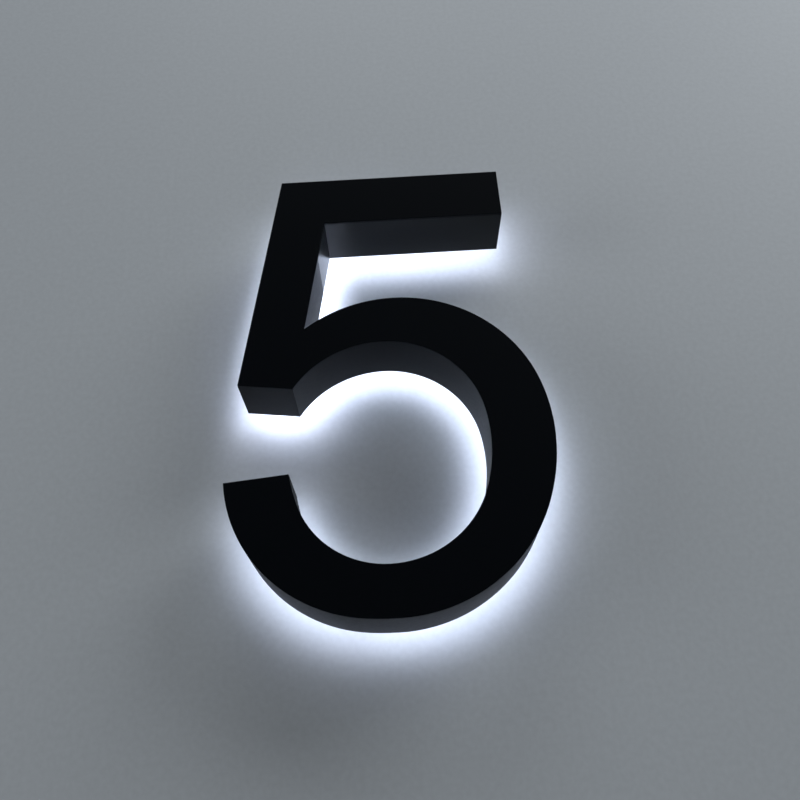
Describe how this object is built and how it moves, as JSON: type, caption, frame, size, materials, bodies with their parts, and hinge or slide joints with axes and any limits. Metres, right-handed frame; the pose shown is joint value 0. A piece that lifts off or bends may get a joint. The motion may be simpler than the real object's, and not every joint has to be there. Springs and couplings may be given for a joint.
{
  "type": "illuminated house number sign",
  "caption": "Halo-lit house number in the shape of a 5: black metal face and folded returns, opal back panel and LED modules, stood off the wall on tapped pillars.",
  "frame": {"origin": "on the wall plane, under the middle of the digit's bounding rectangle", "axes": "+Z out of the face and away from the wall, +Y to the top of the digit, +X to its right as read; it lies on its back, as in the picture"},
  "size_m": [0.1653, 0.254, 0.049],
  "materials": {
    "black_paint": "matt powder coat",
    "opal_acrylic": "satin, lets the light through",
    "housing_plastic": "moulded, fine texture",
    "clear_plastic": "clear",
    "board_white": "white solder mask",
    "led_phosphor": "cool white phosphor",
    "tape_foam": "closed-cell foam",
    "stainless_steel": "turned",
    "clamp_brass": "nickel-free, turned",
    "block_nylon": "natural nylon",
    "black_rubber": "matt",
    "lead_sheath": "PVC sheath"
  },
  "bodies": {
    "root": {"face_plate": "black_paint", "return_bar_and_stem": "black_paint", "return_inner_bowl": "black_paint", "return_outer_bowl": "black_paint", "back_panel": "opal_acrylic", "side_screws": "stainless_steel", "standoff_pillar_1": "stainless_steel", "standoff_pillar_2": "stainless_steel", "standoff_pillar_3": "stainless_steel", "standoff_pillar_4": "stainless_steel", "standoff_washers": "stainless_steel", "standoff_nuts": "stainless_steel", "led_module_01": "housing_plastic", "module_window_01": "clear_plastic", "led_module_02": "housing_plastic", "module_window_02": "clear_plastic", "led_module_03": "housing_plastic", "module_window_03": "clear_plastic", "led_module_04": "housing_plastic", "module_window_04": "clear_plastic", "led_module_05": "housing_plastic", "module_window_05": "clear_plastic", "led_module_06": "housing_plastic", "module_window_06": "clear_plastic", "led_module_07": "housing_plastic", "module_window_07": "clear_plastic", "led_module_08": "housing_plastic", "module_window_08": "clear_plastic", "led_module_09": "housing_plastic", "module_window_09": "clear_plastic", "led_module_10": "housing_plastic", "module_window_10": "clear_plastic", "led_module_11": "housing_plastic", "module_window_11": "clear_plastic", "led_module_12": "housing_plastic", "module_window_12": "clear_plastic", "led_module_13": "housing_plastic", "module_window_13": "clear_plastic", "module_boards": "board_white", "led_packages": "led_phosphor", "tape_pads": "tape_foam", "jumper_leads": "lead_sheath", "feed_lead": "lead_sheath", "cable_grommet": "black_rubber", "terminal_block": "block_nylon", "terminal_clamps": "clamp_brass", "clamp_screws": "stainless_steel", "block_screw": "stainless_steel"}
  },
  "joints": []
}
